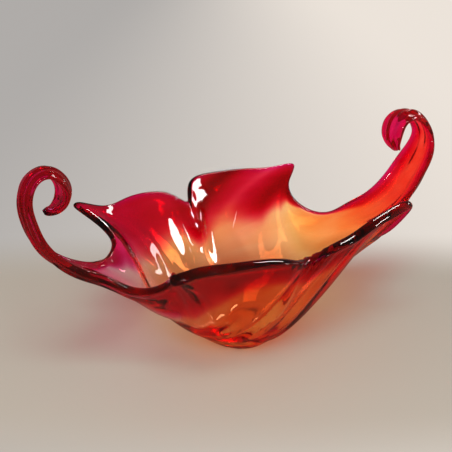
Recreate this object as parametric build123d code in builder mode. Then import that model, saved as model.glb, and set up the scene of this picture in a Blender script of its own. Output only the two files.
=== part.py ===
from build123d import *

import os
from math import pi

import numpy as np

# Art glass centrepiece bowl: one hot gather of amber, ruby and clear glass, opened into a bowl whose
# wall is drawn out into two curled arms (left -X, right +X) and four pointed lobes, with a pinch in the
# middle of the front rim (-Y) and of the back rim (+Y).
# The frame: +X along the arms, +Y to the back, +Z up, origin at the centre of the ground foot.
# All lengths are in millimetres.

# ---------------------------------------------------------------------------- driving dimensions
WALL_HALF = 3.3  # half the thickness of the plain wall and of the arms
FRONT_LIP = 2.0  # extra half thickness in the rolled lip of the front rim
BACK_LIP = -0.7  # the back rim is drawn thinner instead
LIP_WIDTH = 8.0  # width over which the lip fades into the wall
BASE_EXTRA = 13.0  # extra glass above the foot, on the inside
BASE_RADIUS = 44.0  # radius over which the thick base fades into the wall

RUBY_AT_RIM = 3.4  # thickness of the ruby layer along the rims and arms
RUBY_AT_BASE = 1.2  # thickness of the ruby layer in the base
RUBY_FADE = 70.0  # distance from the bowl's middle at which the ruby is half way
AMBER = 1.5  # thickness of the amber layer
SEAM = 0.15  # modelling gap that stands for each fused seam

RUBY_INSET = 1.0  # how far the ruby layer stops short of the lip
AMBER_INSET = 4.0  # how far the amber layer stops short of the lip
TIP_ROUND = 5.0  # length over which the tips of the arms round off
TIP_RADIUS = 0.6  # radius of the flat left at the very tip

NARROWEST = 0.4  # least share of the gutter's width that a layer keeps at a tip
SHARPEST = 1.0  # least radius over which a layer's edge rounds off

STATIONS = 96  # cross-sections along the bowl
TIP_STEPS = np.array([0.4, 1.2, 2.6])  # extra cross-sections close to each tip
HALF_LOOP = 24  # points on each face of a cross-section
TURN = np.linspace(-pi / 2, 3 * pi / 2, 2 * HALF_LOOP, endpoint=False)  # once around a cross-section
EVEN = [i / HALF_LOOP for i in range(HALF_LOOP + 1)]  # spline parameters along one face
SPAN_POINTS = 25  # points at which the wall's height is measured along its curve
STEP_S, STEP_T = 0.5, 0.01  # steps over which the wall's direction is measured

# How the wall of a plain gutter (first) and of a flared lobe (second) climbs from the keel to the rim: the
# share of the reach that its two middle control points have sideways, endways and upwards.
EARLY_SIDEWAYS = (0.6, 0.5)
LATE_SIDEWAYS = (1.0, 0.83)
LATE_ENDWAYS = (0.45, 0.0)
LATE_UPWARDS = (0.45, 0.8)

# Each arm, as the middle line of its gutter: x, z, half width of the gutter, depth of the gutter.
LEFT_ARM = [
    (-199, 166, 2.5, 0.5),
    (-192, 165.5, 6, 2),
    (-184.5, 169.5, 9.5, 3.5),
    (-181, 180, 11, 4.5),
    (-186, 191, 10, 5),
    (-195.5, 197, 9, 5),
    (-205, 194.5, 8.5, 5),
    (-211.5, 186, 9, 5),
    (-213.5, 174, 9, 5),
    (-211, 160, 9.5, 5),
    (-206, 145, 10, 5),
    (-197, 130, 11, 5.5),
    (-185, 118, 12, 6),
    (-170.5, 108, 15, 7),
    (-154, 99, 20, 9),
]
RIGHT_ARM = [
    (158, 94, 29, 12),
    (176.5, 102, 25, 11),
    (195.5, 114.5, 23, 10),
    (210, 130, 21, 9),
    (221, 145, 19, 8),
    (228.5, 158, 16, 7),
    (230, 171, 13, 6),
    (224, 183, 12, 6),
    (213, 191.5, 12.5, 6),
    (201, 194.5, 13, 6),
    (190.5, 190.5, 13, 6),
    (185.5, 181, 12.5, 6),
    (185.5, 172, 10.5, 5),
    (189, 165, 6.5, 3),
    (195.5, 160, 2.5, 0.5),
]

# The bowl from left to right: keel (x, z), front rim (x, y, z), back rim (x, y, z) and how far the wall
# flares there (0 a plain gutter, 1 a wall that flattens outwards into a lobe).
BOWL = [
    ((-137, 82), (-137, -30, 93), (-138, 30, 98), 0.2),
    ((-117, 68), (-122, -45, 95), (-123, 42, 96), 0.4),  # bottom of the left cuts
    ((-103, 57), (-117, -57, 103), (-112.5, 53, 104), 0.7),
    ((-92, 48), (-121, -70, 113), (-117.5, 69, 117), 1.0),
    ((-81, 39), (-130, -87, 119), (-134, 89, 134), 1.0),  # left lobes
    ((-66, 25), (-113, -92, 122.5), (-109, 91, 127), 1.0),
    ((-48, 12), (-85, -98, 123.5), (-76, 96, 128), 0.9),
    ((-28, 0), (-50, -104, 122.5), (-45, 97, 129), 0.8),
    ((-12, -5), (-20, -103, 117), (-22, 93, 122), 0.7),
    ((0, -6), (3, -95, 110), (-10, 86, 116), 0.7),  # front and back pinches
    ((12, -5), (22, -99, 117), (-4, 93, 131), 0.7),
    ((28, 0), (48, -99, 122), (24, 99, 137), 0.8),
    ((48, 12), (77, -97, 129), (70, 100, 134), 0.9),
    ((66, 25), (108, -91, 133.5), (106, 97, 131), 1.0),
    ((81, 39), (139, -81, 131.5), (131, 94, 129), 1.0),  # right lobes
    ((92, 48), (131, -70, 112), (116, 82, 116), 1.0),
    ((103, 57), (123, -55, 98), (109, 62, 103), 0.7),
    ((118, 68), (127, -46, 91), (115, 47, 95), 0.4),  # bottom of the right cuts
    ((139, 82), (141, -38, 92), (136, 36, 91), 0.2),
]


# ---------------------------------------------------------------------------- the wall's middle surface
def natural_spline(knots, values):
    """The smooth curve through values at knots, straight at both ends, as a function of the knot."""
    gaps = np.diff(knots)
    slopes = np.diff(values, axis=0) / gaps[:, None]
    balance = np.eye(len(knots))
    turn = np.zeros_like(values)
    for i in range(1, len(knots) - 1):
        balance[i, i - 1 : i + 2] = gaps[i - 1], 2 * (gaps[i - 1] + gaps[i]), gaps[i]
        turn[i] = 6 * (slopes[i] - slopes[i - 1])
    bend = np.linalg.solve(balance, turn)

    def curve(at):
        i = np.clip(np.searchsorted(knots, at, side="right") - 1, 0, len(knots) - 2)
        gap = gaps[i][..., None]
        after = (at - knots[i])[..., None]
        before = gap - after
        level = (values[i] * before + values[i + 1] * after) / gap
        sag = bend[i] * (before**3 / gap - before * gap) + bend[i + 1] * (after**3 / gap - after * gap)
        return level + sag / 6

    return curve


def arm_rows(arm):
    """Keel, front rim, back rim and flare of an arm, square to its middle line."""
    line = np.array([(x, z) for x, z, _, _ in arm], float)
    along = np.gradient(line, axis=0)
    along /= np.linalg.norm(along, axis=1)[:, None]
    rows = []
    for (x, z), (along_x, along_z), (_, _, half_width, depth) in zip(line, along, arm):
        lift_x, lift_z = -along_z * depth / 2, along_x * depth / 2
        rim_x, rim_z = x + lift_x, z + lift_z
        rows.append(((x - lift_x, z - lift_z), (rim_x, -half_width, rim_z), (rim_x, half_width, rim_z), 0.0))
    return rows


rows = arm_rows(LEFT_ARM) + BOWL + arm_rows(RIGHT_ARM)
keels = np.array([(x, 0, z) for (x, z), _, _, _ in rows], float)
fronts = np.array([front for _, front, _, _ in rows], float)
backs = np.array([back for _, _, back, _ in rows], float)
flares = np.array([[flare] for _, _, _, flare in rows], float)

steps = sum(np.linalg.norm(np.diff(rail, axis=0), axis=1) for rail in (keels, fronts, backs)) / 3
LENGTH = float(steps.sum())  # mean length of the three rails
knots = np.concatenate([[0.0], np.cumsum(steps)])
keel_at = natural_spline(knots, keels)
front_at = natural_spline(knots, fronts)
back_at = natural_spline(knots, backs)
flare_at = natural_spline(knots, flares)


def between(ends, share):
    """The value at a share of the way between two ends."""
    low, high = ends
    return low + (high - low) * share


def middle(s, t):
    """The middle of the wall: s runs from the left tip to the right one, t from front rim to back rim."""
    keel = keel_at(s)
    reach = np.where((t < 0)[..., None], front_at(s), back_at(s)) - keel
    flare = flare_at(s)[..., 0]
    up = np.abs(t)
    early = 3 * (1 - up) ** 2 * up
    late = 3 * (1 - up) * up**2
    sideways = between(EARLY_SIDEWAYS, flare) * early + between(LATE_SIDEWAYS, flare) * late + up**3
    endways = between(LATE_ENDWAYS, flare) * late + up**3
    upwards = between(LATE_UPWARDS, flare) * late + up**3
    return keel + reach * np.stack([endways, sideways, upwards], axis=-1)


def inward(s, t):
    """The unit normal of the middle surface, on the hollow side."""
    s_low, s_high = np.clip(s - STEP_S, 0, LENGTH), np.clip(s + STEP_S, 0, LENGTH)
    t_low, t_high = np.clip(t - STEP_T, -1, 1), np.clip(t + STEP_T, -1, 1)
    normal = np.cross(middle(s_high, t) - middle(s_low, t), middle(s, t_high) - middle(s, t_low))
    return normal / np.linalg.norm(normal, axis=-1)[..., None]


def half_span(s, side):
    """Length of the wall from the keel to the rim of one side (-1 front, 1 back)."""
    t = np.linspace(0, side, SPAN_POINTS)
    across = middle(np.full_like(t, s), t)
    return float(np.linalg.norm(np.diff(across, axis=0), axis=1).sum())


# ---------------------------------------------------------------------------- the layers of glass
def wall_faces(s, t, rim_distance):
    """Offsets of the wall's outer and inner faces from its middle surface."""
    flare = flare_at(s)[..., 0]
    lip = np.where(t < 0, FRONT_LIP, BACK_LIP) * flare
    half = WALL_HALF + lip * np.exp(-((rim_distance / LIP_WIDTH) ** 2))
    from_middle = np.linalg.norm(middle(s, t)[..., :2], axis=-1)
    base = BASE_EXTRA / (1 + (from_middle / BASE_RADIUS) ** 2) ** 2
    ruby_share = from_middle**2 / (from_middle**2 + RUBY_FADE**2)
    ruby = RUBY_AT_BASE + (RUBY_AT_RIM - RUBY_AT_BASE) * ruby_share
    return -half, half + base, ruby


def clear_faces(s, t, rim_distance):
    """Clear casing: from the outer face up to the ruby."""
    outer, inner, ruby = wall_faces(s, t, rim_distance)
    return outer, inner - AMBER - ruby - 2 * SEAM


def ruby_faces(s, t, rim_distance):
    """Ruby layer: between the clear casing and the amber."""
    _, inner, ruby = wall_faces(s, t, rim_distance)
    return inner - AMBER - ruby - SEAM, inner - AMBER - SEAM


def amber_faces(s, t, rim_distance):
    """Amber layer: the inside of the bowl."""
    _, inner, _ = wall_faces(s, t, rim_distance)
    return inner - AMBER, inner


def rounding(distance, radius):
    """Quarter-round profile: 0 at the edge, 1 from the radius inwards."""
    left = 1 - np.clip(distance / radius, 0, 1)
    return np.sqrt(1 - left**2)


def layer_loop(faces, inset, s, from_tip):
    """Points around one cross-section of a layer: the lower face from front to back, then the upper."""
    spans = np.where(np.sin(TURN) < 0, half_span(s, -1), half_span(s, 1))
    spread = rounding(from_tip, TIP_ROUND)
    reach = np.maximum(1 - inset / spans, NARROWEST) * (NARROWEST + (1 - NARROWEST) * spread)
    t = np.sin(TURN) * reach
    station = np.full_like(t, s)
    low, high = faces(station, t, (1 - np.abs(t)) * spans)
    half = (high - low) / 2
    from_edge = (1 - np.abs(np.sin(TURN))) * spans * reach
    upper = np.where(np.cos(TURN) > 0, -1, 1) * rounding(from_edge, np.maximum(half, SHARPEST)) * spread
    offset = (low + high) / 2 + half * upper
    return middle(station, t) + inward(station, t) * offset[:, None]


def tip_loop(faces, s):
    """A small flat circle that closes a layer at the tip of an arm."""
    station, keel = np.array([s]), np.array([0.0])
    low, high = faces(station, keel, np.array([WALL_HALF]))
    lift = inward(station, keel)
    across = np.array([[0, 1, 0]])
    centre = middle(station, keel) + lift * (low + high) / 2
    return centre + TIP_RADIUS * (np.sin(TURN)[:, None] * across - np.cos(TURN)[:, None] * lift)


def section_wire(loop):
    """A closed wire through a loop of points, with its two corners on the rims."""
    with BuildLine() as section:
        for first in (0, HALF_LOOP):
            face = np.roll(loop, -first, axis=0)[: HALF_LOOP + 1]
            add(Edge.make_spline([tuple(point) for point in face], parameters=EVEN))
    return Wire(section.edges())


def layer_skin(faces, inset):
    """One layer of glass: a smooth skin through its cross-sections, from tip to tip."""
    start, end = inset, LENGTH - inset
    stations = np.concatenate([start + TIP_STEPS, np.linspace(start, end, STATIONS)[1:-1], end - TIP_STEPS])
    loops = [layer_loop(faces, inset, s, min(s - start, end - s)) for s in np.sort(stations)]
    wires = [section_wire(loop) for loop in (tip_loop(faces, start), *loops, tip_loop(faces, end))]
    return Solid.make_loft(wires).fix()


os.makedirs("parts", exist_ok=True)

# ---------------------------------------------------------------------------- clear casing
casing_skin = layer_skin(clear_faces, 0)
with BuildPart() as clear_casing:
    add(casing_skin)
    split(bisect_by=Plane.XY, keep=Keep.TOP)  # the foot, ground flat
clear_casing.part.label = "clear_casing"
export_step(clear_casing.part, "parts/clear_casing.step")

# ---------------------------------------------------------------------------- ruby overlay
ruby_skin = layer_skin(ruby_faces, RUBY_INSET)
with BuildPart() as ruby_overlay:
    add(ruby_skin)
ruby_overlay.part.label = "ruby_overlay"
export_step(ruby_overlay.part, "parts/ruby_overlay.step")

# ---------------------------------------------------------------------------- amber core
amber_skin = layer_skin(amber_faces, AMBER_INSET)
with BuildPart() as amber_core:
    add(amber_skin)
amber_core.part.label = "amber_core"
export_step(amber_core.part, "parts/amber_core.step")
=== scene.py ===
from math import cos, pi, radians, sin

import bpy
import numpy as np
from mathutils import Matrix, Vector


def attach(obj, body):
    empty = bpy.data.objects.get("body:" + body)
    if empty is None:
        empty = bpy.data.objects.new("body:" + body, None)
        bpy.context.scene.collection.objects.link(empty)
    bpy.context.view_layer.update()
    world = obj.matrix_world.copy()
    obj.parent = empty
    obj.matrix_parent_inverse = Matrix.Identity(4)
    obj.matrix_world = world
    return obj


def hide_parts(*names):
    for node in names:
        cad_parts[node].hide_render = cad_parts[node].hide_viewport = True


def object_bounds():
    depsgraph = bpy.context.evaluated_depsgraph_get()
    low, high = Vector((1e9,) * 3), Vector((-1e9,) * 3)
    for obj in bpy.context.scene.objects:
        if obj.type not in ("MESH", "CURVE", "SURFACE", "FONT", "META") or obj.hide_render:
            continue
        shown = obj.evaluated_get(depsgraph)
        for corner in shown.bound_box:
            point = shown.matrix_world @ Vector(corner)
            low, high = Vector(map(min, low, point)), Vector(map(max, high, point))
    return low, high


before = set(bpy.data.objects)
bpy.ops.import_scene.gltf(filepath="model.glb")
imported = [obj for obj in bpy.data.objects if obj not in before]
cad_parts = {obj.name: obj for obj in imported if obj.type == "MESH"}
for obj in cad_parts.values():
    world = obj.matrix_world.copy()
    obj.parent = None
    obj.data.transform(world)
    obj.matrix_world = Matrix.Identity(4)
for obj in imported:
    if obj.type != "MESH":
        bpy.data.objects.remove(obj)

cad_low, cad_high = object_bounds()

# The visual model of the art glass bowl. The glass is built in the CAD frame from the same rails as the
# CAD part, in millimetres, and scaled to metres by the CAD model's own length.

# ---------------------------------------------------------------------------- driving dimensions, mm
WALL_HALF = 3.3  # half the thickness of the plain wall and of the arms
FRONT_LIP = 2.0  # extra half thickness in the rolled lip of the front rim
BACK_LIP = -0.7  # the back rim is drawn thinner instead
LIP_WIDTH = 8.0  # width over which the lip fades into the wall
BASE_EXTRA = 13.0  # extra glass above the foot, on the inside
BASE_RADIUS = 44.0  # radius over which the thick base fades into the wall
FOOT_EDGE = 0.8  # how softly the ground foot meets the wall
FOOT_TOP = 6.0  # height above which the foot leaves the wall as it is
TIP_ROUND = 5.0  # length over which the tips of the arms round off
TIP_FLAT = 0.05  # length cut off a tip, which leaves a small flat
NARROWEST = 0.4  # least share of the gutter's width that the glass keeps at a tip
DESIGN_LENGTH = 456.0  # length of the CAD model that these numbers describe
SPAN_POINTS = 33  # points at which the wall's height is measured along its curve
STEP_S, STEP_T = 0.5, 0.01  # steps over which the wall's direction is measured

# How the wall of a plain gutter (first) and of a flared lobe (second) climbs from the keel to the rim: the
# share of the reach that its two middle control points have sideways, endways and upwards.
EARLY_SIDEWAYS = (0.6, 0.5)
LATE_SIDEWAYS = (1.0, 0.83)
LATE_ENDWAYS = (0.45, 0.0)
LATE_UPWARDS = (0.45, 0.8)

# Each arm, as the middle line of its gutter: x, z, half width of the gutter, depth of the gutter.
LEFT_ARM = [
    (-199, 166, 2.5, 0.5),
    (-192, 165.5, 6, 2),
    (-184.5, 169.5, 9.5, 3.5),
    (-181, 180, 11, 4.5),
    (-186, 191, 10, 5),
    (-195.5, 197, 9, 5),
    (-205, 194.5, 8.5, 5),
    (-211.5, 186, 9, 5),
    (-213.5, 174, 9, 5),
    (-211, 160, 9.5, 5),
    (-206, 145, 10, 5),
    (-197, 130, 11, 5.5),
    (-185, 118, 12, 6),
    (-170.5, 108, 15, 7),
    (-154, 99, 20, 9),
]
RIGHT_ARM = [
    (158, 94, 29, 12),
    (176.5, 102, 25, 11),
    (195.5, 114.5, 23, 10),
    (210, 130, 21, 9),
    (221, 145, 19, 8),
    (228.5, 158, 16, 7),
    (230, 171, 13, 6),
    (224, 183, 12, 6),
    (213, 191.5, 12.5, 6),
    (201, 194.5, 13, 6),
    (190.5, 190.5, 13, 6),
    (185.5, 181, 12.5, 6),
    (185.5, 172, 10.5, 5),
    (189, 165, 6.5, 3),
    (195.5, 160, 2.5, 0.5),
]

# The bowl from left to right: keel (x, z), front rim (x, y, z), back rim (x, y, z) and how far the wall
# flares there (0 a plain gutter, 1 a wall that flattens outwards into a lobe).
BOWL = [
    ((-137, 82), (-137, -30, 93), (-138, 30, 98), 0.2),
    ((-117, 68), (-122, -45, 95), (-123, 42, 96), 0.4),  # bottom of the left cuts
    ((-103, 57), (-117, -57, 103), (-112.5, 53, 104), 0.7),
    ((-92, 48), (-121, -70, 113), (-117.5, 69, 117), 1.0),
    ((-81, 39), (-130, -87, 119), (-134, 89, 134), 1.0),  # left lobes
    ((-66, 25), (-113, -92, 122.5), (-109, 91, 127), 1.0),
    ((-48, 12), (-85, -98, 123.5), (-76, 96, 128), 0.9),
    ((-28, 0), (-50, -104, 122.5), (-45, 97, 129), 0.8),
    ((-12, -5), (-20, -103, 117), (-22, 93, 122), 0.7),
    ((0, -6), (3, -95, 110), (-10, 86, 116), 0.7),  # front and back pinches
    ((12, -5), (22, -99, 117), (-4, 93, 131), 0.7),
    ((28, 0), (48, -99, 122), (24, 99, 137), 0.8),
    ((48, 12), (77, -97, 129), (70, 100, 134), 0.9),
    ((66, 25), (108, -91, 133.5), (106, 97, 131), 1.0),
    ((81, 39), (139, -81, 131.5), (131, 94, 129), 1.0),  # right lobes
    ((92, 48), (131, -70, 112), (116, 82, 116), 1.0),
    ((103, 57), (123, -55, 98), (109, 62, 103), 0.7),
    ((118, 68), (127, -46, 91), (115, 47, 95), 0.4),  # bottom of the right cuts
    ((139, 82), (141, -38, 92), (136, 36, 91), 0.2),
]

METRES = (cad_high[0] - cad_low[0]) / DESIGN_LENGTH  # metres per design millimetre


# ---------------------------------------------------------------------------- the wall's middle surface
def natural_spline(knots, values):
    """The smooth curve through values at knots, straight at both ends, as a function of the knot."""
    gaps = np.diff(knots)
    slopes = np.diff(values, axis=0) / gaps[:, None]
    balance = np.eye(len(knots))
    turn = np.zeros_like(values)
    for i in range(1, len(knots) - 1):
        balance[i, i - 1 : i + 2] = gaps[i - 1], 2 * (gaps[i - 1] + gaps[i]), gaps[i]
        turn[i] = 6 * (slopes[i] - slopes[i - 1])
    bend = np.linalg.solve(balance, turn)

    def curve(at):
        i = np.clip(np.searchsorted(knots, at, side="right") - 1, 0, len(knots) - 2)
        gap = gaps[i][..., None]
        after = (at - knots[i])[..., None]
        before = gap - after
        level = (values[i] * before + values[i + 1] * after) / gap
        sag = bend[i] * (before**3 / gap - before * gap) + bend[i + 1] * (after**3 / gap - after * gap)
        return level + sag / 6

    return curve


def arm_rows(arm):
    """Keel, front rim, back rim and flare of an arm, square to its middle line."""
    line = np.array([(x, z) for x, z, _, _ in arm], float)
    along = np.gradient(line, axis=0)
    along /= np.linalg.norm(along, axis=1)[:, None]
    rows = []
    for (x, z), (along_x, along_z), (_, _, half_width, depth) in zip(line, along, arm):
        lift_x, lift_z = -along_z * depth / 2, along_x * depth / 2
        rim_x, rim_z = x + lift_x, z + lift_z
        rows.append(((x - lift_x, z - lift_z), (rim_x, -half_width, rim_z), (rim_x, half_width, rim_z), 0.0))
    return rows


rows = arm_rows(LEFT_ARM) + BOWL + arm_rows(RIGHT_ARM)
keels = np.array([(x, 0, z) for (x, z), _, _, _ in rows], float)
fronts = np.array([front for _, front, _, _ in rows], float)
backs = np.array([back for _, _, back, _ in rows], float)
flares = np.array([[flare] for _, _, _, flare in rows], float)

steps = sum(np.linalg.norm(np.diff(rail, axis=0), axis=1) for rail in (keels, fronts, backs)) / 3
LENGTH = float(steps.sum())  # mean length of the three rails
knots = np.concatenate([[0.0], np.cumsum(steps)])
keel_at = natural_spline(knots, keels)
front_at = natural_spline(knots, fronts)
back_at = natural_spline(knots, backs)
flare_at = natural_spline(knots, flares)


def between(ends, share):
    """The value at a share of the way between two ends."""
    low, high = ends
    return low + (high - low) * share


def middle(s, t):
    """The middle of the wall: s runs from the left tip to the right one, t from front rim to back rim."""
    keel = keel_at(s)
    reach = np.where((t < 0)[..., None], front_at(s), back_at(s)) - keel
    flare = flare_at(s)[..., 0]
    up = np.abs(t)
    early = 3 * (1 - up) ** 2 * up
    late = 3 * (1 - up) * up**2
    sideways = between(EARLY_SIDEWAYS, flare) * early + between(LATE_SIDEWAYS, flare) * late + up**3
    endways = between(LATE_ENDWAYS, flare) * late + up**3
    upwards = between(LATE_UPWARDS, flare) * late + up**3
    return keel + reach * np.stack([endways, sideways, upwards], axis=-1)


def inward(s, t):
    """The unit normal of the middle surface, on the hollow side."""
    s_low, s_high = np.clip(s - STEP_S, 0, LENGTH), np.clip(s + STEP_S, 0, LENGTH)
    t_low, t_high = np.clip(t - STEP_T, -1, 1), np.clip(t + STEP_T, -1, 1)
    normal = np.cross(middle(s_high, t) - middle(s_low, t), middle(s, t_high) - middle(s, t_low))
    return normal / np.linalg.norm(normal, axis=-1)[..., None]


def half_spans(s, side):
    """Length of the wall from the keel to the rim of one side (-1 front, 1 back), for many stations."""
    t = np.linspace(0, side, SPAN_POINTS)
    grid_s, grid_t = np.meshgrid(s, t, indexing="ij")
    across = middle(grid_s, grid_t)
    return np.linalg.norm(np.diff(across, axis=1), axis=2).sum(axis=1)


def rounding(distance, radius):
    """Quarter-round profile: 0 at the edge, 1 from the radius inwards."""
    left = 1 - np.clip(distance / radius, 0, 1)
    return np.sqrt(1 - left**2)


def fade(value, low, high):
    """A smooth step from 0 at low to 1 at high."""
    x = np.clip((value - low) / (high - low), 0, 1)
    return x * x * (3 - 2 * x)


# ---------------------------------------------------------------------------- marks of the hand work
# Lengths are in mm, and places along the bowl are counted from the left tip.
RIB_HEIGHT = 0.5  # the ribs that run along the outer face of the arms
RIBS = 2.5  # ribs between the keel and a rim
RIB_WANDER = 0.12  # how far the ribs drift sideways, as a share of the way from keel to rim
RIB_WANDER_LENGTH = 33.0  # length along the bowl for one radian of that drift
BOWL_HALF = 195.0  # from the middle of the bowl to where the ribs begin
RIB_FADE = 40.0  # length over which they rise
PINCH_PLACE = 403.0  # the front pinch
PINCH_SIZE = 12.0  # how far its wrinkles reach
PINCH_PITCH = 7.0  # from one wrinkle to the next
PINCH_LEAN = 1 / 3  # how far a wrinkle moves along the bowl for each mm down
PINCH_HEIGHT = 2.8

WAVE_HEIGHT = 0.35  # slight waves of hand-made glass
OUTER_WAVES = 1.6  # waves of the outer face, as a multiple of that height
INNER_WAVES = 0.45  # the same for the inner face
OUTER_SHIFT, INNER_SHIFT = 0, 2  # makes the waves of the two faces differ
# Each wave: length along the bowl for one radian, radians from keel to rim, multiple of the shift, and
# share of the height.
WAVES = [
    (17, 4, 1, 1.0),
    (31, -7, 2, 1.0),
    (9, 11, -1, 0.5),
]

BAND_START = (0.5, 2.0)  # a band rises between these multiples of its start
BAND_END = 0.6  # and begins to fall at this share of its end

# Folds in the outer face that run from the rim towards the foot: side (-1 front, 1 back), place at the rim,
# how far the fold moves along the bowl for each mm down, half width, height (a crease is below 0), and the
# distances from the rim at which it starts and ends.
FOLDS = [
    (-1, 400, -0.5, 5.0, -1.6, 4, 150),
    (-1, 418, -0.55, 7.0, 1.3, 10, 130),
    (-1, 438, -0.6, 6.0, -1.4, 8, 140),
    (-1, 458, -0.6, 7.0, 1.2, 12, 140),
    (-1, 480, -0.6, 6.5, -1.2, 16, 140),
    (-1, 246, 0.42, 6.0, 1.2, 8, 130),
    (-1, 264, 0.42, 5.5, -1.3, 12, 120),
    (-1, 330, -0.1, 12.0, -1.2, 20, 120),
    (1, 392, -0.3, 7.0, -1.0, 4, 90),
    (1, 430, 0.4, 9.0, -1.0, 10, 110),
    (1, 300, 0.4, 8.0, 1.0, 10, 100),
    (1, 520, -0.4, 9.0, 0.8, 20, 110),
]


def bands(place, table):
    """Sum of soft bands that run down from the rim, such as folds, at each place."""
    total = np.zeros_like(place["rim"])
    for side, start_place, lean, width, rise, start, end in table:
        off = place["s"] - start_place - lean * place["rim"]
        begun = fade(place["rim"], start * BAND_START[0], start * BAND_START[1])
        over = fade(place["rim"], end * BAND_END, end)
        height = rise * np.exp(-((off / width) ** 2)) * begun * (1 - over)
        total += np.where(np.sign(place["t"]) == side, height, 0)
    return total


# Swellings of the inner face: side, place along the bowl, depth below the rim, half width, half height, rise.
SWELLINGS = [
    (1, 408, 33, 17, 14, 2.0),  # below the back pinch
    (1, 300, 60, 24, 20, 1.0),
    (1, 520, 60, 30, 22, 0.8),
]


def swellings(place):
    """Height of the swellings of the inner face at each place."""
    total = np.zeros_like(place["rim"])
    for side, centre, depth, width, height, rise in SWELLINGS:
        away = ((place["s"] - centre) / width) ** 2 + ((place["rim"] - depth) / height) ** 2
        total += np.where(np.sign(place["t"]) == side, rise * np.exp(-away), 0)
    return total


def waves(place, shift):
    """Slight waves over a face."""
    total = np.zeros_like(place["s"])
    for length, slant, shifted, share in WAVES:
        total += share * np.sin(place["s"] / length + slant * place["t"] + shifted * shift)
    return WAVE_HEIGHT * total


def ribs(place):
    """Ribs along the outer face of the two arms."""
    on_arms = fade(np.abs(place["s"] - LENGTH / 2), BOWL_HALF, BOWL_HALF + RIB_FADE)
    wander = RIB_WANDER * np.sin(place["s"] / RIB_WANDER_LENGTH)
    return RIB_HEIGHT * on_arms * np.cos(2 * pi * RIBS * (place["t"] + wander))


def pinch_wrinkles(place):
    """The wrinkled glass at the front pinch, where the tool gripped it."""
    off = place["s"] - PINCH_PLACE
    near = np.exp(-((off / PINCH_SIZE) ** 2) - (place["rim"] / PINCH_SIZE) ** 2)
    wrinkles = PINCH_HEIGHT * near * np.cos(2 * pi * (off + place["rim"] * PINCH_LEAN) / PINCH_PITCH)
    return np.where(place["t"] < 0, wrinkles, 0)


# ---------------------------------------------------------------------------- the layers of glass
RUBY_PASSES = np.array([0.49, 0.0012, 0.06])  # shares of red, green and blue light that full ruby passes
AMBER_PASSES = np.array([1.0, 0.57, 0.2])  # the same for full amber
RUBY_VOLUME_PASSES = np.array([0.93, 0.35, 0.6])  # what the depth of the ruby layer passes by itself
AMBER_VOLUME_PASSES = np.array([0.99, 0.86, 0.7])  # the same for the amber layer
CLEARANCE = 0.6  # how far the coloured layers stay under the faces of the wall, mm
RUBY_INSET = 1.0  # how far the ruby layer stops short of the lip, mm
RUBY_THICK = 3.2  # ruby layer at the rims, mm
RUBY_ON_ARMS = 1.8  # extra ruby along the arms, mm
RUBY_THIN = 0.12  # ruby layer where it has faded out, mm
RUBY_FADES = (0.68, 1.35)  # shares of its reach between which the ruby fades out
AMBER_INSET = 3.0  # how far the amber layer stops short of the lip, mm
AMBER_THICK = 2.2  # amber layer in the middle of the bowl, mm
AMBER_THIN = 0.2  # amber layer where there is next to none, mm
AMBER_RISES = (1, 12)  # distances from the rim between which the amber rises to full strength, mm
AMBER_EDGE = 0.5  # extra share of amber where the ruby fades out
CASING_PART = 0.5  # share of the colours that the casing's own tint stands for
LAYER_PART = 0.25  # share of its colour that a coloured layer's own tint stands for

# How the colours are spread, from the left tip to the right one: place along the bowl, reach of the ruby
# from the front rim and from the back rim, least share of ruby, and share of amber.
COLOURS = [
    (0, 40, 40, 1.0, 0.0),
    (155, 40, 40, 1.0, 0.0),
    (185, 14, 12, 0.25, 0.1),
    (215, 12, 10, 0.1, 0.1),
    (240, 55, 26, 0.05, 0.15),
    (262, 80, 54, 0.04, 0.25),
    (282, 76, 66, 0.04, 0.4),
    (300, 58, 60, 0.03, 0.7),
    (340, 36, 53, 0.03, 1.0),
    (380, 26, 38, 0.03, 1.0),
    (400, 24, 38, 0.05, 1.0),
    (420, 27, 50, 0.06, 1.0),
    (450, 25, 47, 0.06, 1.0),
    (500, 24, 52, 0.05, 1.0),
    (535, 24, 44, 0.02, 1.0),
    (555, 16, 20, 0.0, 1.2),
    (580, 6, 5, 0.03, 1.5),
    (610, 7, 6, 0.08, 1.6),
    (640, 13, 13, 0.2, 1.6),
    (670, 15, 15, 0.38, 1.4),
    (700, 15, 15, 0.38, 1.4),
    (735, 12, 11, 0.42, 1.3),
    (765, 9, 9, 0.6, 0.7),
    (785, 9, 9, 0.8, 0.1),
    (900, 9, 9, 0.8, 0.0),
]

# Places where the ruby runs deeper (above 0) or paler: columns as in FOLDS, with a share of ruby for height.
# On the back wall these are painted shade and painted light: darker patches and a paler band that stand for a
# shadow seen through the glass.
RUBY_TRAILS_PAINTED_SHADE_AND_LIGHT = [
    (1, 511, -1.28, 12, -0.5, 1, 80),
    (1, 462, -1.28, 15, 1.5, 1, 60),
    (1, 566, -1.28, 25, 1.3, 1, 90),
    (1, 385, 0.2, 14, 0.4, 1, 60),
    (-1, 345, -0.5, 9, 0.9, 22, 70),
    (-1, 428, -0.5, 10, 1.6, 12, 80),
    (-1, 470, -0.6, 9, 1.4, 14, 90),
    (-1, 515, -0.7, 10, 1.2, 14, 90),
    (1, 252, 0, 20, -0.6, 1, 40),
]
PAINTED_LIP_SHADE = 3.0  # extra share of ruby in the rolled front lip: painted shade that darkens the lip
PAINTED_LIP_SHADE_WIDTH = 11.0  # width over which it fades into the wall, mm
PAINTED_LIP_SHADE_END, PAINTED_LIP_SHADE_FADE = 540.0, 70.0  # where it ends along the bowl and over what length, mm


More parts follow.
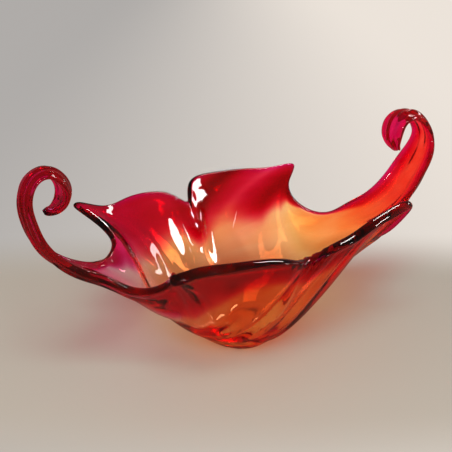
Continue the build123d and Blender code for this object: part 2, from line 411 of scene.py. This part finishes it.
def ruby_depth_and_painted_shade(place):
    """How much deeper than plain the ruby runs at each place, as a factor, with the painted shade and painted
    light of the trails and the lip.
    """
    flare = flare_at(place["s"])[..., 0]
    # The lip's extra ruby is painted shade that darkens the rolled front lip.
    lip = PAINTED_LIP_SHADE * flare * np.exp(-((place["rim"] / PAINTED_LIP_SHADE_WIDTH) ** 2))
    lip *= 1 - fade(place["s"], PAINTED_LIP_SHADE_END - PAINTED_LIP_SHADE_FADE, PAINTED_LIP_SHADE_END)
    return 1 + bands(place, RUBY_TRAILS_PAINTED_SHADE_AND_LIGHT) + np.where(place["t"] < 0, lip, 0)


def wall_faces(place):
    """Offsets of the wall's outer and inner faces from its middle surface."""
    flare = flare_at(place["s"])[..., 0]
    lip = np.where(place["t"] < 0, FRONT_LIP, BACK_LIP) * flare
    half = WALL_HALF + lip * np.exp(-((place["rim"] / LIP_WIDTH) ** 2))
    from_middle = np.linalg.norm(place["middle"][..., :2], axis=-1)
    base = BASE_EXTRA / (1 + (from_middle / BASE_RADIUS) ** 2) ** 2
    wrinkles = pinch_wrinkles(place)
    outer = ribs(place) + bands(place, FOLDS) + OUTER_WAVES * waves(place, OUTER_SHIFT) + wrinkles
    inner = base + INNER_WAVES * waves(place, INNER_SHIFT) + swellings(place) + wrinkles
    return -half - outer, half + inner


def spread(place, column):
    """One column of COLOURS at each place."""
    return np.interp(place["s"], [row[0] for row in COLOURS], [row[column] for row in COLOURS])


def ruby_share(place):
    """1 where the ruby is at full strength, 0 where there is none."""
    reach = np.where(place["t"] < 0, spread(place, 1), spread(place, 2))
    least = spread(place, 3)
    return least + (1 - least) * (1 - fade(place["rim"] / reach, *RUBY_FADES))


def amber_share(place):
    """1 where the amber is at full strength, 0 where there is none."""
    ruby = ruby_share(place)
    half_way = 4 * ruby * (1 - ruby)  # 1 where the ruby has half its strength
    return spread(place, 4) * fade(place["rim"], *AMBER_RISES) * (1 + AMBER_EDGE * half_way)


def tint(place, ruby_part, amber_part):
    """Colour of the light that the given parts of the ruby and amber let through, at each place."""
    # The ruby's depth here includes painted shade and painted light on the back wall and the front lip.
    ruby = np.log(RUBY_PASSES) * (ruby_part * ruby_share(place) * ruby_depth_and_painted_shade(place))[..., None]
    amber = np.log(AMBER_PASSES) * (amber_part * amber_share(place))[..., None]
    return np.exp(ruby + amber)


def ruby_faces(place):
    """The ruby layer, in the outer half of the wall."""
    outer, _ = wall_faces(place)
    low = outer + CLEARANCE
    arms = RUBY_ON_ARMS * (1 - amber_share(place))
    return low, low + RUBY_THIN + (RUBY_THICK - RUBY_THIN + arms) * ruby_share(place)


def amber_faces(place):
    """The amber layer, just under the inner face of the wall."""
    _, inner = wall_faces(place)
    high = inner - CLEARANCE
    return high - AMBER_THIN - (AMBER_THICK - AMBER_THIN) * amber_share(place), high


# ---------------------------------------------------------------------------- the skins of glass
CASING_LOOPS, CASING_HALF_LOOP = 440, 112  # loops along the skin, and points on each face of a loop
LAYER_LOOPS, LAYER_HALF_LOOP = 300, 48
CROWDING = 8  # how strongly the loops crowd towards the two tips
THINNEST_EDGE = 1.0  # least radius over which a skin's edge rounds off, mm


def stations_for(count, start, end):
    """Places of the loops along the bowl, closer together towards the two tips."""
    even = np.linspace(0, 1, count)
    close = CROWDING * TIP_ROUND / (end - start)
    return start + (end - start) * (even - close * np.sin(2 * pi * even) / (2 * pi))


def ground_foot(points):
    """Flatten what lies below the table into the foot, with a soft edge."""
    height = points[..., 2]
    soft = (height + np.sqrt(height**2 + FOOT_EDGE**2)) / 2
    points[..., 2] = np.where(height < FOOT_TOP, soft, height)


def skin_points(faces, inset, count, half_loop):
    """Points of a closed skin between two faces of the wall, held inset mm inside the rim and the tips: count
    loops, each with the lower face from front to back and then the upper. Also says where they lie."""
    stations = stations_for(count, inset, LENGTH - inset)
    turn = np.linspace(-pi / 2, 3 * pi / 2, 2 * half_loop, endpoint=False)
    s, around = np.meshgrid(stations, turn, indexing="ij")
    front_span = half_spans(stations, -1)[:, None]
    back_span = half_spans(stations, 1)[:, None]
    span = np.where(np.sin(around) < 0, front_span, back_span)
    from_tip = np.maximum(np.minimum(s - inset, LENGTH - inset - s), TIP_FLAT)
    fullness = rounding(from_tip, TIP_ROUND)
    reach = np.maximum(1 - inset / span, NARROWEST) * (NARROWEST + (1 - NARROWEST) * fullness)
    t = np.sin(around) * reach
    place = {"s": s, "t": t, "rim": (1 - np.abs(t)) * span, "middle": middle(s, t)}
    low, high = faces(place)
    half = (high - low) / 2
    from_edge = (1 - np.abs(np.sin(around))) * span * reach
    side = np.where(np.cos(around) > 0, -1, 1)
    upper = side * rounding(from_edge, np.maximum(half, THINNEST_EDGE)) * fullness
    offset = (low + high) / 2 + half * upper
    points = place["middle"] + inward(s, t) * offset[..., None]
    ground_foot(points)
    return place, points


def skin_faces(count, ring):
    """Faces of a skin through count loops of ring points, with the two tips as its last two points."""
    faces = []
    for i in range(count - 1):
        here, there = i * ring, (i + 1) * ring
        for j in range(ring):
            k = (j + 1) % ring
            faces.append((here + j, here + k, there + k, there + j))
    last = (count - 1) * ring
    left_tip, right_tip = count * ring, count * ring + 1
    for j in range(ring):
        k = (j + 1) % ring
        faces.append((left_tip, k, j))
        faces.append((right_tip, last + j, last + k))
    return faces


def paint(mesh, colours):
    """Store the tint of each loop point on a skin; its two tips take the tint beside them."""
    painted = np.ones((len(mesh.vertices), 4), np.float32)
    painted[:-2, :3] = colours.reshape(-1, 3)
    painted[-2:] = painted[[0, -3]]
    mesh.attributes.new("tint", "FLOAT_COLOR", "POINT").data.foreach_set("color", painted.ravel())


def layer_mesh(name, faces, inset, count, half_loop, ruby_part, amber_part):
    """One layer of glass as a closed skin, tinted by the given parts of the ruby and the amber."""
    place, points = skin_points(faces, inset, count, half_loop)
    tips = np.array([points[0].mean(axis=0), points[-1].mean(axis=0)])
    vertices = np.vstack([points.reshape(-1, 3), tips]) * METRES
    mesh = bpy.data.meshes.new(name)
    mesh.from_pydata(vertices.tolist(), [], skin_faces(count, 2 * half_loop))
    mesh.update()
    mesh.polygons.foreach_set("use_smooth", np.ones(len(mesh.polygons), bool))
    paint(mesh, tint(place, ruby_part, amber_part))
    piece = bpy.data.objects.new(name, mesh)
    bpy.context.scene.collection.objects.link(piece)
    return piece


# ---------------------------------------------------------------------------- the viewpoint
CAMERA_DISTANCE = 0.9  # from the middle of the foot, m
CAMERA_ROUND = radians(34.5)  # from straight in front towards the left
CAMERA_UP = radians(26.8)  # above the table
AIM_ROUND = radians(33.3)  # heading of the view, from straight back towards the right
AIM_DOWN = radians(20.05)
LENS = 71.5  # mm on a 36 mm sensor
AHEAD = (sin(AIM_ROUND), cos(AIM_ROUND), 0)  # level, away from the camera
TO_THE_RIGHT = (cos(AIM_ROUND), -sin(AIM_ROUND), 0)


# ---------------------------------------------------------------------------- materials
SHADOW_DEPTH = 0.4  # share of the colour's depth that shows in the bowl's shadow
GLASS_IOR = 1.5
STREAK_SCALE = (14, 60, 60)  # streaks per metre along and across the bowl
STREAK_DETAIL = 3  # octaves of finer streaks
STREAK_NOISE = (0.3, 0.7)  # range of the noise that the streaks are made of
STREAK_DEPTH = (0.82, 1.18)  # how much thinner or thicker the colour is in a streak
DENSITY_MARGIN = 1.02  # keeps the colour of the volume a little above black


def new_material(name):
    """An empty node material: its tree and its output node."""
    material = bpy.data.materials.new(name)
    material.use_nodes = True
    material.node_tree.nodes.clear()
    output = material.node_tree.nodes.new("ShaderNodeOutputMaterial")
    return material, material.node_tree, output


def let_lamps_through(tree, output, glass, colour):
    """Glass that lamps shine through: to them it is a plain filter of the given colour socket."""
    path = tree.nodes.new("ShaderNodeLightPath")
    either = tree.nodes.new("ShaderNodeMath")
    either.operation = "MAXIMUM"
    tree.links.new(path.outputs["Is Shadow Ray"], either.inputs[0])
    tree.links.new(path.outputs["Is Diffuse Ray"], either.inputs[1])
    paler = tree.nodes.new("ShaderNodeGamma")
    paler.inputs["Gamma"].default_value = SHADOW_DEPTH
    tree.links.new(colour, paler.inputs["Color"])
    filter_node = tree.nodes.new("ShaderNodeBsdfTransparent")
    tree.links.new(paler.outputs["Color"], filter_node.inputs["Color"])
    mix = tree.nodes.new("ShaderNodeMixShader")
    tree.links.new(either.outputs["Value"], mix.inputs["Fac"])
    tree.links.new(glass.outputs["BSDF"], mix.inputs[1])
    tree.links.new(filter_node.outputs["BSDF"], mix.inputs[2])
    tree.links.new(mix.outputs["Shader"], output.inputs["Surface"])


def streaks(tree):
    """Uneven depth of colour, in streaks drawn out along the bowl."""
    position = tree.nodes.new("ShaderNodeNewGeometry").outputs["Position"]
    stretch = tree.nodes.new("ShaderNodeVectorMath")
    stretch.operation = "MULTIPLY"
    tree.links.new(position, stretch.inputs[0])
    stretch.inputs[1].default_value = STREAK_SCALE
    noise = tree.nodes.new("ShaderNodeTexNoise")
    noise.inputs["Scale"].default_value = 1
    noise.inputs["Detail"].default_value = STREAK_DETAIL
    tree.links.new(stretch.outputs["Vector"], noise.inputs["Vector"])
    depth = tree.nodes.new("ShaderNodeMapRange")
    depth.inputs["From Min"].default_value, depth.inputs["From Max"].default_value = STREAK_NOISE
    depth.inputs["To Min"].default_value, depth.inputs["To Max"].default_value = STREAK_DEPTH
    tree.links.new(noise.outputs["Fac"], depth.inputs["Value"])
    return depth.outputs["Result"]


def glass_nodes(name, ior):
    """A smooth glass whose colour comes from the tint painted on its mesh."""
    material, tree, output = new_material(name)
    painted = tree.nodes.new("ShaderNodeAttribute")
    painted.attribute_name = "tint"
    depth = tree.nodes.new("ShaderNodeGamma")
    tree.links.new(painted.outputs["Color"], depth.inputs["Color"])
    tree.links.new(streaks(tree), depth.inputs["Gamma"])
    glass = tree.nodes.new("ShaderNodeBsdfPrincipled")
    glass.inputs["Transmission Weight"].default_value = 1
    glass.inputs["Roughness"].default_value = 0
    glass.inputs["IOR"].default_value = ior
    tree.links.new(depth.outputs["Color"], glass.inputs["Base Color"])
    let_lamps_through(tree, output, glass, depth.outputs["Color"])
    return material, tree, output


def clear_material():
    """The clear casing: glass that bends and mirrors light, tinted by the colours cased in it."""
    material, _, _ = glass_nodes("clear_glass", GLASS_IOR)
    return material


def coloured_material(name, passed, depth):
    """Coloured glass cased in the clear: it lets light straight on and only colours it.
    passed is the share of red, green and blue light left after depth mm."""
    material, tree, output = glass_nodes(name, 1)
    taken = -np.log(passed) / (depth / 1000)
    density = taken.max() * DENSITY_MARGIN
    volume = tree.nodes.new("ShaderNodeVolumeAbsorption")
    volume.inputs["Color"].default_value = (*(1 - taken / density), 1)
    volume.inputs["Density"].default_value = density
    tree.links.new(volume.outputs["Volume"], output.inputs["Volume"])
    return material


FLOOR_COLOUR = (0.52, 0.48, 0.42)
FLOOR_ROUGHNESS, FLOOR_SHINE = 0.55, 0.2
SURROUND_LEFT = (0.43, 0.41, 0.395)  # light that comes from far away, level with the table
SURROUND_RIGHT = (0.84, 0.77, 0.7)
SURROUND_WIDTH = 0.5  # how far to each side of the bowl the surround on the floor changes, m
ROOM_COLOUR = (0.4, 0.38, 0.36)  # light that comes from above
ROOM_RISES = (0.1, 0.6)  # sines of the lifts between which the surround turns into the room
MIRRORED = 0.2  # share of the surround that shows as a reflection
THROUGH_GLASS = 1.5  # how much brighter it is through glass, which gathers light behind itself
PAINTED_FLOOR_GLOW = 0.3  # share of that extra light that the floor close to the bowl glows with: painted light
FLOOR_NEAR, FLOOR_FAR = 0.15, 0.3  # where the floor begins and ends to fade into the surround, m
SIDE_SQUASH = 0.35  # share of a distance to the left or right that counts in that fade


def maths(tree, operation, one, two):
    """The output of a maths node; each of its two inputs is a socket or a number."""
    node = tree.nodes.new("ShaderNodeMath")
    node.operation = operation
    for slot, value in zip(node.inputs, (one, two)):
        if isinstance(value, (int, float)):
            slot.default_value = value
        else:
            tree.links.new(value, slot)
    return node.outputs["Value"]


def along(tree, position, direction):
    """How far a position socket lies along a direction."""
    node = tree.nodes.new("ShaderNodeVectorMath")
    node.operation = "DOT_PRODUCT"
    tree.links.new(position, node.inputs[0])
    node.inputs[1].default_value = direction
    return node.outputs["Value"]


def smooth_step(tree, value, low, high):
    """A smooth step of a socket from 0 at low to 1 at high."""
    node = tree.nodes.new("ShaderNodeMapRange")
    node.interpolation_type = "SMOOTHSTEP"
    node.inputs["From Min"].default_value = low
    node.inputs["From Max"].default_value = high
    tree.links.new(value, node.inputs["Value"])
    return node.outputs["Result"]


def colour_mix(tree, share, one, two):
    """A colour between two colours or sockets."""
    node = tree.nodes.new("ShaderNodeMix")
    node.data_type = "RGBA"
    tree.links.new(share, node.inputs["Factor"])
    for name, value in (("A", one), ("B", two)):
        if isinstance(value, tuple):
            node.inputs[name].default_value = (*value, 1)
        else:
            tree.links.new(value, node.inputs[name])
    return node.outputs["Result"]


def seen_how(tree):
    """How bright the studio looks to a ray: dimmer in a mirror reflection, brighter through glass."""
    path = tree.nodes.new("ShaderNodeLightPath")
    mirrored = maths(tree, "MULTIPLY", path.outputs["Is Glossy Ray"], path.outputs["Is Reflection Ray"])
    lost = maths(tree, "MULTIPLY", mirrored, 1 - MIRRORED)
    gained = maths(tree, "MULTIPLY", path.outputs["Is Transmission Ray"], THROUGH_GLASS - 1)
    return maths(tree, "ADD", maths(tree, "SUBTRACT", 1, lost), gained)


def surround(tree, position, reach):
    """Colour of the surround, brighter to the right."""
    right = smooth_step(tree, along(tree, position, TO_THE_RIGHT), -reach, reach)
    return colour_mix(tree, right, SURROUND_LEFT, SURROUND_RIGHT)


def floor_surface(tree, strength):
    """The floor close to the bowl."""
    surface = tree.nodes.new("ShaderNodeBsdfPrincipled")
    surface.inputs["Roughness"].default_value = FLOOR_ROUGHNESS
    surface.inputs["Specular IOR Level"].default_value = FLOOR_SHINE
    share = maths(tree, "MINIMUM", strength, 1)
    tree.links.new(colour_mix(tree, share, (0, 0, 0), FLOOR_COLOUR), surface.inputs["Base Color"])
    # Seen through glass, the floor close to the bowl glows: painted light in place of the light that the
    # glass gathers onto it.
    extra = maths(tree, "MAXIMUM", maths(tree, "SUBTRACT", strength, 1), 0)
    surface.inputs["Emission Color"].default_value = (*FLOOR_COLOUR, 1)
    tree.links.new(maths(tree, "MULTIPLY", extra, PAINTED_FLOOR_GLOW), surface.inputs["Emission Strength"])
    return surface.outputs["BSDF"]


def floor_distance(tree, position):
    """How far a place on the floor is from the bowl, for the fade into the surround."""
    ahead = along(tree, position, AHEAD)
    beside = maths(tree, "MULTIPLY", along(tree, position, TO_THE_RIGHT), SIDE_SQUASH)
    ahead_squared = maths(tree, "MULTIPLY", ahead, ahead)
    beside_squared = maths(tree, "MULTIPLY", beside, beside)
    return maths(tree, "SQRT", maths(tree, "ADD", ahead_squared, beside_squared), 0)


def floor_material():
    """A plain pale floor that fades into the pale surround away from the bowl, where it glows with the
    surround's light instead of being lit: painted light, brighter to the right.
    """
    material, tree, output = new_material("floor")
    strength = seen_how(tree)
    position = tree.nodes.new("ShaderNodeNewGeometry").outputs["Position"]
    # The glow is painted light: the floor away from the bowl shines with the surround's colour, brighter to
    # the right.
    glow = tree.nodes.new("ShaderNodeEmission")
    tree.links.new(surround(tree, position, SURROUND_WIDTH), glow.inputs["Color"])
    tree.links.new(strength, glow.inputs["Strength"])
    mix = tree.nodes.new("ShaderNodeMixShader")
    faded = smooth_step(tree, floor_distance(tree, position), FLOOR_NEAR, FLOOR_FAR)
    tree.links.new(faded, mix.inputs["Fac"])
    tree.links.new(floor_surface(tree, strength), mix.inputs[1])
    tree.links.new(glow.outputs["Emission"], mix.inputs[2])
    tree.links.new(mix.outputs["Shader"], output.inputs["Surface"])
    return material


# ---------------------------------------------------------------------------- the bowl
def build_bowl():
    """The three layers of glass; the casing is the whole wall and the coloured layers lie inside it."""
    casing_loops = CASING_LOOPS, CASING_HALF_LOOP
    layer_loops = LAYER_LOOPS, LAYER_HALF_LOOP
    casing = layer_mesh("clear_casing_glass", wall_faces, 0, *casing_loops, CASING_PART, CASING_PART)
    ruby = layer_mesh("ruby_overlay_glass", ruby_faces, RUBY_INSET, *layer_loops, LAYER_PART, 0)
    amber = layer_mesh("amber_core_glass", amber_faces, AMBER_INSET, *layer_loops, 0, LAYER_PART)
    ruby_glass = coloured_material("ruby_glass", RUBY_VOLUME_PASSES, RUBY_THICK)
    amber_glass = coloured_material("amber_glass", AMBER_VOLUME_PASSES, AMBER_THICK)
    for piece, material, node, slot in (
        (casing, clear_material(), "clear_casing", "clear_glass"),
        (ruby, ruby_glass, "ruby_overlay", "ruby_glass"),
        (amber, amber_glass, "amber_core", "amber_glass"),
    ):
        piece.data.materials.append(material)
        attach(piece, "root")
        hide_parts(node)


# ---------------------------------------------------------------------------- floor, light and camera
FLOOR_HALF = 6.0  # half the side of the floor, m
LIT_POINT = Vector((0, 0, 0.1))  # the middle of the bowl, m
SOFT_LIGHT_PLACE = (-0.7, -1.1, 1.7)  # m
SOFT_LIGHT_WIDTH, SOFT_LIGHT_HEIGHT = 1.0, 1.2  # m
SOFT_LIGHT_WATTS = 33
SOFT_LIGHT_COLOUR = (1, 0.97, 0.93)
WINDOW_COLOUR = (1, 0.98, 0.95)
WINDOW_DISTANCE = 1.5  # m
# Heading (from straight back towards the right), lift, width and height in degrees, and glare.
WINDOWS = [
    (127, 19, 13, 3.8, 26),  # seen at the back pinch and low on the back wall
    (187, 19, 10, 5, 26),  # seen in glints below the back pinch
    (94, 17, 6, 4, 10),  # seen in the left gutter
    (155, 25.5, 7, 1.5, 6),  # a faint bar on the back wall
    (90, 52, 9, 22, 18),  # seen along the front lip
]
BOUNCES = 300  # light that is caught in a thick rim needs many of them to get out again


def floor_plane():
    """A plain square floor that the foot rests on."""
    mesh = bpy.data.meshes.new("floor")
    corners = [(x * FLOOR_HALF, y * FLOOR_HALF, 0) for x, y in ((-1, -1), (1, -1), (1, 1), (-1, 1))]
    mesh.from_pydata(corners, [], [(0, 1, 2, 3)])
    floor = bpy.data.objects.new("floor", mesh)
    bpy.context.scene.collection.objects.link(floor)
    mesh.materials.append(floor_material())


def softbox(name, place, width, height, watts, colour):
    """A rectangular soft light at place, turned towards the bowl."""
    lamp = bpy.data.lights.new(name, "AREA")
    lamp.shape = "RECTANGLE"
    lamp.size, lamp.size_y = width, height
    lamp.energy = watts
    lamp.color = colour
    holder = bpy.data.objects.new(name, lamp)
    holder.location = place
    holder.rotation_euler = (LIT_POINT - Vector(place)).to_track_quat("-Z", "Y").to_euler()
    bpy.context.scene.collection.objects.link(holder)
    return holder


def window(name, heading, lift, width, height, glare):
    """A distant window that only shows as a highlight, with the columns of WINDOWS."""
    heading, lift = radians(heading), radians(lift)
    away = WINDOW_DISTANCE * Vector((cos(lift) * sin(heading), cos(lift) * cos(heading), sin(lift)))
    wide, tall = WINDOW_DISTANCE * radians(width), WINDOW_DISTANCE * radians(height)
    watts = glare * pi * wide * tall
    holder = softbox(name, LIT_POINT + away, wide, tall, watts, WINDOW_COLOUR)
    holder.visible_diffuse = False


def light_scene():
    """One soft light in front of the bowl, and the windows that its glass mirrors."""
    size = SOFT_LIGHT_WIDTH, SOFT_LIGHT_HEIGHT
    soft_light = softbox("soft_light", SOFT_LIGHT_PLACE, *size, SOFT_LIGHT_WATTS, SOFT_LIGHT_COLOUR)
    soft_light.visible_glossy = False
    for number, columns in enumerate(WINDOWS):
        window(f"window_{number}", *columns)


def pale_world():
    """A pale surround that is bright near the horizon and dim above."""
    world = bpy.data.worlds.new("surround")
    bpy.context.scene.world = world
    world.use_nodes = True
    tree = world.node_tree
    direction = tree.nodes.new("ShaderNodeTexCoord").outputs["Generated"]
    above = smooth_step(tree, along(tree, direction, (0, 0, 1)), *ROOM_RISES)
    colour = colour_mix(tree, above, surround(tree, direction, 1), ROOM_COLOUR)
    tree.links.new(colour, tree.nodes["Background"].inputs["Color"])
    tree.links.new(seen_how(tree), tree.nodes["Background"].inputs["Strength"])


def camera():
    """The camera, at the viewing angle of a person standing in front of the table, to the left."""
    lens = bpy.data.cameras.new("camera")
    lens.lens = LENS
    view = bpy.data.objects.new("camera", lens)
    level = CAMERA_DISTANCE * cos(CAMERA_UP)
    view.location = (-level * sin(CAMERA_ROUND), -level * cos(CAMERA_ROUND), CAMERA_DISTANCE * sin(CAMERA_UP))
    view.rotation_euler = (pi / 2 - AIM_DOWN, 0, -AIM_ROUND)
    bpy.context.scene.collection.objects.link(view)
    bpy.context.scene.camera = view


def light_paths():
    """Let light take the long ways through the glass, and show its colours plainly."""
    scene = bpy.context.scene
    scene.cycles.max_bounces = BOUNCES
    scene.cycles.transmission_bounces = BOUNCES
    scene.cycles.glossy_bounces = BOUNCES
    scene.cycles.transparent_max_bounces = BOUNCES
    scene.cycles.use_denoising = True
    scene.view_settings.view_transform = "Standard"


build_bowl()
floor_plane()
light_scene()
pale_world()
camera()
light_paths()
